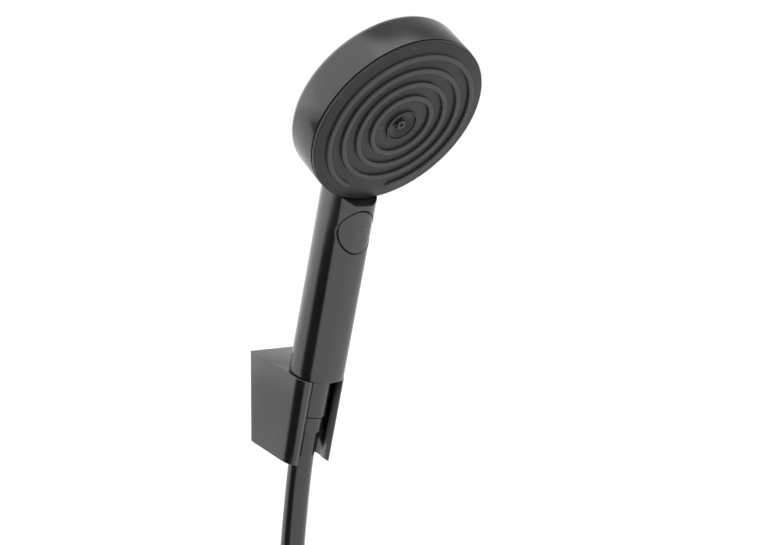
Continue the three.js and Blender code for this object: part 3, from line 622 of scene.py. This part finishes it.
def make_face_plate():
    """The spray plate: crowned, with a raised boss round its middle and a rounded rim."""
    rim = CUP_RADIUS + CUP_RIM
    profile = eased([
        (3.6, CUP_FLOOR + 2), (3.6, CUP_FLOOR), (CUP_RADIUS - 0.8, CUP_FLOOR),
        (CUP_RADIUS, CUP_FLOOR - 0.9), (CUP_RADIUS, CUP_RIM_FRONT), (rim, CUP_RIM_FRONT),
        (rim, land(rim)), (rim + 3, land(rim + 3)),
    ], 0.28)[:-1]
    count = 22
    for k in range(1, count + 1):
        radius = rim + 1.2 + (FACE_FLAT_RADIUS - rim - 1.2) * k / count
        profile.append((radius, land(radius)))
    flat = land(FACE_FLAT_RADIUS)
    profile += eased([
        (FACE_FLAT_RADIUS + 0.2, flat), (49.4, flat + 0.28), (49.6, flat + 0.52),
        (FACE_RADIUS, flat + 0.62), (FACE_RADIUS, FACE_RIM_DEPTH), (45.6, FACE_RIM_DEPTH),
        (44.6, 5.7), (CUP_RADIUS + 2.4, 4.9), (CUP_RADIUS + 2, CUP_FLOOR + 2),
    ], 0.7)[5:-5]
    profile.append((CUP_RADIUS + 2, CUP_FLOOR + 2))
    plate = turned("spray_face", profile, HEAD, "face_black", 256)
    return place_piece(plate, "handset", ("face_plate",))


def ridge_section(radius, squeeze=1.0):
    """Section of a raised nozzle ring as (radius, depth)."""
    half = RING_WIDTH / 2 * squeeze
    foot = land(radius) + RING_SINK
    crest = foot - (foot - crown(radius) - RING_CREST) * squeeze
    section = [(radius - half, foot)]
    for k in range(13):
        angle = math.pi * k / 12
        across = math.copysign(abs(math.cos(angle)) ** 0.45, math.cos(angle))
        rise = math.sin(angle) ** 0.4 if k % 12 else 0
        section.append((radius - half * across, foot - (foot - crest) * rise))
    section.append((radius + half, foot))
    return [point for i, point in enumerate(section) if i == 0 or point != section[i - 1]]


def nozzle_shape():
    """One soft nozzle: a small cone with a dimple for its hole."""
    profile = [
        (0, 0.1), (0.14, 0.08), (0.22, -0.1), (0.34, -0.13), (0.44, -0.06), (0.6, 0.25), (0, 0.25),
    ]
    nozzle = turned("nozzle", profile, WALL, "silicone_grey", 10)
    nozzle.hide_render = True
    return nozzle


def math_node(nodes, operation):
    node = nodes.new("ShaderNodeMath")
    node.operation = operation
    return node


def nozzle_nodes():
    """Put nozzles round a ring's crest: spacing, start and sweep are set for each ring."""
    group = bpy.data.node_groups.new("nozzles_on_ring", "GeometryNodeTree")
    face = group.interface
    face.new_socket("Geometry", in_out="INPUT", socket_type="NodeSocketGeometry")
    count_in = face.new_socket("Nozzle count", in_out="INPUT", socket_type="NodeSocketInt")
    radius_in = face.new_socket("Ring radius", in_out="INPUT", socket_type="NodeSocketFloat")
    start_in = face.new_socket("Start angle", in_out="INPUT", socket_type="NodeSocketFloat")
    sweep_in = face.new_socket("Sweep angle", in_out="INPUT", socket_type="NodeSocketFloat")
    face.new_socket("Geometry", in_out="OUTPUT", socket_type="NodeSocketGeometry")
    nodes = group.nodes
    links = group.links
    source = nodes.new("NodeGroupInput")
    result = nodes.new("NodeGroupOutput")
    points = nodes.new("GeometryNodePoints")
    index = nodes.new("GeometryNodeInputIndex")
    share = math_node(nodes, "DIVIDE")
    angle = math_node(nodes, "MULTIPLY_ADD")
    cosine = math_node(nodes, "COSINE")
    sine = math_node(nodes, "SINE")
    across = math_node(nodes, "MULTIPLY")
    along = math_node(nodes, "MULTIPLY")
    spot = nodes.new("ShaderNodeCombineXYZ")
    shape = nodes.new("GeometryNodeObjectInfo")
    shape.inputs["Object"].default_value = NOZZLE
    instances = nodes.new("GeometryNodeInstanceOnPoints")
    real = nodes.new("GeometryNodeRealizeInstances")
    finish = nodes.new("GeometryNodeSetMaterial")
    finish.inputs["Material"].default_value = MATERIALS["silicone_grey"]
    links.new(source.outputs["Nozzle count"], points.inputs["Count"])
    links.new(index.outputs["Index"], share.inputs[0])
    links.new(source.outputs["Nozzle count"], share.inputs[1])
    links.new(share.outputs[0], angle.inputs[0])
    links.new(source.outputs["Sweep angle"], angle.inputs[1])
    links.new(source.outputs["Start angle"], angle.inputs[2])
    links.new(angle.outputs[0], cosine.inputs[0])
    links.new(angle.outputs[0], sine.inputs[0])
    links.new(cosine.outputs[0], across.inputs[0])
    links.new(source.outputs["Ring radius"], across.inputs[1])
    links.new(sine.outputs[0], along.inputs[0])
    links.new(source.outputs["Ring radius"], along.inputs[1])
    links.new(across.outputs[0], spot.inputs["X"])
    links.new(along.outputs[0], spot.inputs["Z"])
    links.new(spot.outputs["Vector"], points.inputs["Position"])
    links.new(points.outputs["Points"], instances.inputs["Points"])
    links.new(shape.outputs["Geometry"], instances.inputs["Instance"])
    links.new(instances.outputs["Instances"], real.inputs["Geometry"])
    links.new(real.outputs["Geometry"], finish.inputs["Geometry"])
    links.new(finish.outputs["Geometry"], result.inputs[0])
    return group, [item.identifier for item in (count_in, radius_in, start_in, sweep_in)]


NOZZLE = nozzle_shape()
NOZZLE_GROUP, NOZZLE_SOCKETS = nozzle_nodes()


def make_nozzle_ring(number, radius, gap_angle=0.0):
    """A raised ring of soft silicone with its nozzles, broken at the bottom where there is a gap."""
    steps = 256
    bottom = -math.pi / 2
    start = bottom + gap_angle / 2
    sweep = 2 * math.pi - gap_angle
    rings = []
    full = [1.0] * (steps + 1 - 2 * len(RING_TAPER))
    tapered = (*RING_TAPER, *full, *reversed(RING_TAPER))
    for k in range(steps + (1 if gap_angle else 0)):
        squeeze = tapered[k] if gap_angle else 1.0
        angle = start + sweep * k / steps
        rings.append([
            (r * math.cos(angle), depth, r * math.sin(angle))
            for r, depth in ridge_section(radius, squeeze)
        ])
    ridge = lofted(f"nozzle_ring_{number}_ridge", rings, HEAD, "silicone_grey", loop=not gap_angle)

    carrier_mesh = bpy.data.meshes.new(f"nozzles_{number}")
    carrier = linked(f"nozzles_{number}", carrier_mesh)
    modifier = carrier.modifiers.new("nozzles", "NODES")
    modifier.node_group = NOZZLE_GROUP
    margin = 0.045 if gap_angle else 0
    reach = sweep - 2 * margin
    count = round(radius * reach / NOZZLE_SPACING)
    values = (count, radius * MM, start + margin + 0.5 * reach / count, reach)
    for socket, value in zip(NOZZLE_SOCKETS, values):
        modifier[socket] = value
    baked(carrier)
    crest = Matrix.Translation((0, crown(radius) + RING_CREST, 0))
    carrier.data.transform(HEAD @ crest @ Matrix.Scale(1 / MM, 4))
    clean(carrier.data)
    place_piece(ridge, "handset", (f"nozzle_ring_{number}",))
    place_piece(carrier, "handset", ())


def make_centre():
    """The dished insert in the boss and the small ring nozzle in its middle."""
    outer = CUP_RADIUS - 0.12
    insert = turned("centre_dish", eased([
        (5.4, 5), (outer - 0.9, 5), (outer, 4), (outer, 1.35), (outer - 0.5, 1.1),
        (4.4, 2.75), (3.8, 2.95), (3.1, 2.95), (3.1, 3.6),
    ], 0.3), HEAD, "face_black", 128)
    place_piece(insert, "handset", ("centre_insert",))
    nozzle = turned("centre_jet", eased([
        (1.1, 3.4), (1.1, 1.5), (1.5, 1.2), (2.3, 1.2), (2.75, 1.6), (2.75, 3.4),
    ], 0.2), HEAD, "silicone_grey", 96)
    place_piece(nozzle, "handset", ("centre_nozzle",))


make_face_plate()
for ring_number, ring_radius in enumerate(RING_RADII, 1):
    make_nozzle_ring(ring_number, ring_radius, RING_BREAK if ring_number == 4 else 0.0)
bpy.data.objects.remove(NOZZLE)
make_centre()

# ---- Button ---------------------------------------------------------------------------------


def make_button():
    """The cap: its face follows the handle's front, with a hollow skirt and a stem behind."""
    half = HANDLE_HALF - 0.15
    edge = 0.5
    rings = [[(0, handle_front(0, half), 0)]]
    for k in range(1, 17):
        rings.append(front_ring((BUTTON_RADIUS - edge) * k / 16, lambda x: handle_front(x, half)))
    for k in range(1, 6):
        angle = math.pi / 2 * k / 5
        drop = edge * (1 - math.cos(angle))
        rings.append(front_ring(
            BUTTON_RADIUS - edge * (1 - math.sin(angle)),
            lambda x, drop=drop: handle_front(x, half) + drop,
        ))
    inner = BUTTON_RADIUS - BUTTON_WALL
    rings.append(front_ring(BUTTON_RADIUS, lambda x: BUTTON_SKIRT_END))
    rings.append(front_ring(inner, lambda x: BUTTON_SKIRT_END))
    for radius in (inner, 9.2, 7.8, 6.2, 4.4, STEM_RADIUS):
        rings.append(front_ring(radius, lambda x: handle_front(x, half) + BUTTON_THICKNESS))
    rings.append(front_ring(STEM_RADIUS, lambda x: STEM_END - STEM_CHAMFER))
    rings.append(front_ring(STEM_RADIUS - STEM_CHAMFER, lambda x: STEM_END))
    rings.append([(0, STEM_END, 0)])
    cap = lofted("select_button", rings, BUTTON)
    return place_piece(cap, "button", ("button_cap",))


make_button()

# ---- Wall holder ----------------------------------------------------------------------------


def holder_outline(inset):
    """The holder's section seen along the handle, drawn in a little near its rims."""
    half = HOLDER_HALF - inset
    front = HOLDER_FRONT - inset
    slot = SLOT_HALF + inset
    bore = BORE_RADIUS + inset
    ease = 0.4
    right = [(half, 95), (half, 24), (half, 8)]
    last = math.acos(((slot + ease) / half) ** (SQUARENESS / 2))
    for k in range(41):
        angle = last * k / 40
        across = half * math.cos(angle) ** (2 / SQUARENESS)
        right.append((across, -front * math.sin(angle) ** (2 / SQUARENESS)))
    start = Vector(right[-1])
    corner = Vector((slot, start.y - 0.12))
    end = Vector((slot, start.y + ease))
    for k in range(1, 6):
        t = k / 5
        point = start * (1 - t) ** 2 + corner * 2 * t * (1 - t) + end * t * t
        right.append((point.x, point.y))
    stop = math.asin(slot / bore)
    round_bore = []
    for k in range(73):
        angle = -math.pi / 2 + stop + (2 * math.pi - 2 * stop) * k / 72
        round_bore.append((bore * math.cos(angle), bore * math.sin(angle)))
    left = [(-x, y) for x, y in reversed(right)]
    return right + round_bore + left


def make_holder():
    """The open-fronted holder, cut flat at the wall, and the plate that it slides over."""
    edge = 0.35
    rings = []
    for end, side in ((-HOLDER_HEIGHT, 1), (0, -1)):
        steps = range(5) if side == 1 else range(4, -1, -1)
        for k in steps:
            angle = math.pi / 2 * k / 4
            height = end + side * edge * (1 - math.cos(angle))
            rings.append([(x, y, height) for x, y in holder_outline(edge * (1 - math.sin(angle)))])
    body = lofted("wall_holder", rings, HANDLE)
    behind = block("behind_wall", (-200, 0, -200), (200, 200, 200), WALL)
    across = BRACKET_HALF_WIDTH + BRACKET_GAP
    deep = BRACKET_DEPTH + BRACKET_GAP
    tall = BRACKET_HALF_HEIGHT + BRACKET_GAP
    recess = block("recess", (-across, -deep, -tall), (across, 1, tall), WALL)
    hole = turned("screw_hole", [
        (0, -50), (2.08, -50), (2.08, -15), (0, -15),
    ], WALL @ Matrix.Translation((0, -3, -4)) @ UPRIGHT, segments=32)
    carved(body, [behind, recess, hole])
    place_piece(body, "holder", ("holder_body",))

    plate = block(
        "bracket_plate",
        (-BRACKET_HALF_WIDTH, -BRACKET_DEPTH, -BRACKET_HALF_HEIGHT),
        (BRACKET_HALF_WIDTH, 0, BRACKET_HALF_HEIGHT),
        WALL,
    )
    soften = plate.modifiers.new("edges", "BEVEL")
    soften.width = 0.6 * MM
    soften.segments = 3
    baked(plate)
    holes = [
        turned("hole", [
            (0, -7), (5, -7), (5, -5.4), (2.6, -3), (2.6, 1), (0, 1),
        ], WALL @ Matrix.Translation((0, 0, height)), segments=48)
        for height in BRACKET_HOLE_HEIGHTS
    ]
    carved(plate, holes)
    plate.data.materials.clear()
    plate.data.materials.append(MATERIALS["moulded_grey"])
    place_piece(plate, "holder", ("wall_bracket",))


make_holder()

# ---- Nut, ferrules, collar and the far end --------------------------------------------------


def make_fittings():
    """The collar, nut and ferrule under the handle, and the ferrule, nut and seal at the far end."""
    collar = turned("inlet_collar", eased([
        (5.6, -12.2), (7.5, -12.2), (8.1, -11.6), (8.1, -1.2), (11.9, -1.2), (11.9, -0.1),
        (11.1, -0.1), (11.1, 11), (8.6, 13), (8.6, 25), (7.6, 25), (7.6, 3), (5.6, 1.4),
    ], 0.2), HANDLE @ UPRIGHT, "satin_black_casing", 96)
    place_piece(collar, "handset", ("inlet_connector",))

    nut = turned("hose_nut_shell", eased([
        (8.4, NUT_TOP), (NUT_RADIUS, NUT_TOP), (NUT_RADIUS, NUT_TOP - 9),
        (9.32, NUT_TOP - 9.3), (NUT_RADIUS, NUT_TOP - 9.6), (NUT_RADIUS, NUT_FOOT),
        (NUT_BORE, NUT_FOOT), (NUT_BORE, NUT_FOOT + 2.4), (8.4, NUT_FOOT + 2.4),
    ], 0.45), HANDLE @ UPRIGHT, "satin_black_casing", 128)
    place_piece(nut, "handset", ("hose_nut",))

    top = FERRULE_TOP
    ferrule = turned("ferrule", eased([
        (0, top), (FERRULE_RADIUS, top), (FERRULE_RADIUS, top - 6.8), (8.25, top - 7),
        (FERRULE_RADIUS, top - 7.2), (FERRULE_RADIUS, FERRULE_FOOT), (0, FERRULE_FOOT),
    ], 0.5), HANDLE @ UPRIGHT, "satin_black_casing", 128)
    place_piece(ferrule, "hose", ("hose_ferrule",))

    far_ferrule = turned("far_ferrule_shell", eased([
        (0, 0), (FERRULE_RADIUS, 0), (FERRULE_RADIUS, 12), (8.2, 12.25), (FERRULE_RADIUS, 12.5),
        (FERRULE_RADIUS, 15), (5.2, 16), (5.2, 19), (7.8, 19), (7.8, 21), (0, 21),
    ], 0.5), FAR, "satin_black_casing", 128)
    place_piece(far_ferrule, "hose", ("far_ferrule",))

    rings = []
    for depth, grow in (
        (HEX_FOOT, -HEX_CHAMFER), (HEX_FOOT + HEX_CHAMFER, 0),
        (HEX_TOP - HEX_CHAMFER, 0), (HEX_TOP, -HEX_CHAMFER),
    ):
        ring = []
        for i in range(6):
            a = math.pi / 3 * i
            b = math.pi / 3 * (i + 1)
            reach = HEX_REACH + grow
            for k in range(12):
                t = k / 12
                x = reach * ((1 - t) * math.sin(a) + t * math.sin(b))
                z = reach * ((1 - t) * math.cos(a) + t * math.cos(b))
                if grow:
                    size = math.hypot(x, z)
                    x *= min(1, HEX_CORNER / size)
                    z *= min(1, HEX_CORNER / size)
                ring.append((x, depth, z))
        rings.append(ring)
    nut = lofted("far_hex_nut", rings, FAR)
    bore = turned("nut_bore", [
        (0, 15), (NUT_BORE, 15), (NUT_BORE, 18.9), (8.1, 18.9), (8.1, 33), (0, 33),
    ], FAR, segments=96)
    carved(nut, [bore])
    place_piece(nut, "far_swivel_nut", ("far_nut",))

    washer = turned("far_seal", eased([
        (4.4, 21.3), (7.8, 21.3), (7.8, 23.3), (4.4, 23.3),
    ], 0.3), FAR, "seal_rubber", 96)
    place_piece(washer, "far_swivel_nut", ("far_washer",))
    return far_ferrule, nut, washer


def make_tie():
    """A soft strap round the coil, its corners rounded and its edges eased."""
    half_y = 21.9
    half_x = 7.6
    thick = 1.4
    radius = 3.2
    section = (
        (0, 3.9), (-0.3, 4.5), (-0.4, 4.5), (-1.0, 4.4), (-1.4, 4.2),
        (-1.4, -4.2), (-1.0, -4.4), (-0.4, -4.5), (-0.3, -4.5), (0, -3.9),
    )
    turn = Matrix.Rotation(-math.radians(25), 4, "Y")
    place = WALL @ Matrix.Translation((COIL_CENTRE[0], -29.8, COIL_CENTRE[1])) @ turn
    place = place @ Matrix.Translation((COIL_RADIUS, 0, 0))
    rings = []
    for corner, (sx, sy) in enumerate(((1, 1), (-1, 1), (-1, -1), (1, -1))):
        cx = sx * (half_x + thick - radius)
        cy = sy * (half_y + thick - radius)
        for k in range(9):
            angle = math.pi / 2 * (corner + k / 8)
            ux = math.cos(angle)
            uy = math.sin(angle)
            rings.append([
                (cx + ux * (radius + out), cy + uy * (radius + out), up) for out, up in section
            ])
    strap = lofted("coil_tie", rings, place, "seal_rubber", loop=True)
    return place_piece(strap, "hose", ("hose_tie",))


far_ferrule, far_nut, far_washer = make_fittings()
tie = make_tie()

# ---- Floor and light ------------------------------------------------------------------------


def flat_sheet(name, corners, material_name, level, roughness):
    """One plain grey face for the studio."""
    data = bpy.data.meshes.new(name)
    data.from_pydata(corners, [], [(0, 1, 2, 3)])
    material = bpy.data.materials.new(material_name)
    material.use_nodes = True
    shader = material.node_tree.nodes["Principled BSDF"]
    shader.inputs["Base Color"].default_value = (level, level, level, 1)
    shader.inputs["Roughness"].default_value = roughness
    data.materials.append(material)
    return linked(name, data)


def make_floor():
    corners = [
        (x * FLOOR_SIZE, y * FLOOR_SIZE, FLOOR_HEIGHT)
        for x, y in ((-1, -1), (1, -1), (1, 1), (-1, 1))
    ]
    return flat_sheet("floor", corners, "pale_floor", 0.86, 0.8)


def make_lamp(name, place, target, size, power):
    data = bpy.data.lights.new(name, "AREA")
    data.shape = "RECTANGLE"
    data.size = size[0]
    data.size_y = size[1]
    data.energy = power
    lamp = linked(name, data)
    lamp.location = place
    aim = Vector(target) - Vector(place)
    lamp.rotation_euler = aim.to_track_quat("-Z", "Y").to_euler()
    return lamp


def make_flag():
    """A dark card on the left, which draws the dark band down the handle and the hose."""
    near = (-0.44, -0.15)
    far = (-0.36, 0.27)
    corners = [(*near, CARD_FOOT), (*far, CARD_FOOT), (*far, 0.06), (*near, 0.1)]
    return flat_sheet("flag", corners, "dark_card", 0.01, 0.9)


# Brightness of the studio's walls by heading in degrees: 0 is the back, 90 the right.
FRONT_LEVEL = 1.75
HEADINGS = (
    (0, 1.9), (42, 1.0), (100, 0.5), (138, 1.3), (160, 1.75), (250, 1.7), (300, 1.6), (320, 2.0),
)


def make_studio():
    """A wide soft studio, brightest at the left back and dimmest at the right."""
    world = bpy.data.worlds.new("studio")
    world.use_nodes = True
    bpy.context.scene.world = world
    nodes = world.node_tree.nodes
    links = world.node_tree.links
    nodes.clear()
    place = nodes.new("ShaderNodeTexCoord")
    split = nodes.new("ShaderNodeSeparateXYZ")
    heading = math_node(nodes, "ARCTAN2")
    share = nodes.new("ShaderNodeMapRange")
    share.inputs["From Min"].default_value = -math.pi
    share.inputs["From Max"].default_value = math.pi
    links.new(place.outputs["Generated"], split.inputs["Vector"])
    links.new(split.outputs["X"], heading.inputs[0])
    links.new(split.outputs["Y"], heading.inputs[1])
    links.new(heading.outputs[0], share.inputs["Value"])
    walls = nodes.new("ShaderNodeValToRGB")
    walls.color_ramp.interpolation = "EASE"
    ramp = walls.color_ramp.elements
    for stop, position in ((ramp[0], 0), (ramp[1], 1)):
        stop.position = position
        stop.color = (*[FRONT_LEVEL / 2] * 3, 1)
    around = [((degrees + 180) % 360 / 360, level) for degrees, level in HEADINGS]
    for position, level in sorted(around):
        stop = ramp.new(position)
        stop.color = (*[level / 2] * 3, 1)
    links.new(share.outputs["Result"], walls.inputs["Fac"])
    height = nodes.new("ShaderNodeMapRange")
    height.interpolation_type = "SMOOTHSTEP"
    height.inputs["From Min"].default_value = 0.93
    height.inputs["From Max"].default_value = 0.99
    links.new(split.outputs["Z"], height.inputs["Value"])
    ceiling = nodes.new("ShaderNodeMix")
    ceiling.data_type = "RGBA"
    ceiling.inputs[7].default_value = (0.3, 0.3, 0.3, 1)
    links.new(height.outputs["Result"], ceiling.inputs["Factor"])
    links.new(walls.outputs["Color"], ceiling.inputs[6])
    light = nodes.new("ShaderNodeBackground")
    light.inputs["Strength"].default_value = 2
    links.new(ceiling.outputs[2], light.inputs["Color"])
    plain = nodes.new("ShaderNodeBackground")
    plain.inputs["Color"].default_value = (1, 1, 1, 1)
    plain.inputs["Strength"].default_value = 1
    ray = nodes.new("ShaderNodeLightPath")
    mixed = nodes.new("ShaderNodeMixShader")
    out = nodes.new("ShaderNodeOutputWorld")
    links.new(ray.outputs["Is Camera Ray"], mixed.inputs["Fac"])
    links.new(light.outputs["Background"], mixed.inputs[1])
    links.new(plain.outputs["Background"], mixed.inputs[2])
    links.new(mixed.outputs["Shader"], out.inputs["Surface"])


make_studio()
key = make_lamp(
    "key", place=(-0.3, -1.0, 1.9), target=(0, -0.05, 0.1), size=(1.6, 1.2), power=3,
)
make_floor()
make_flag()
bpy.context.scene.view_settings.view_transform = "Standard"
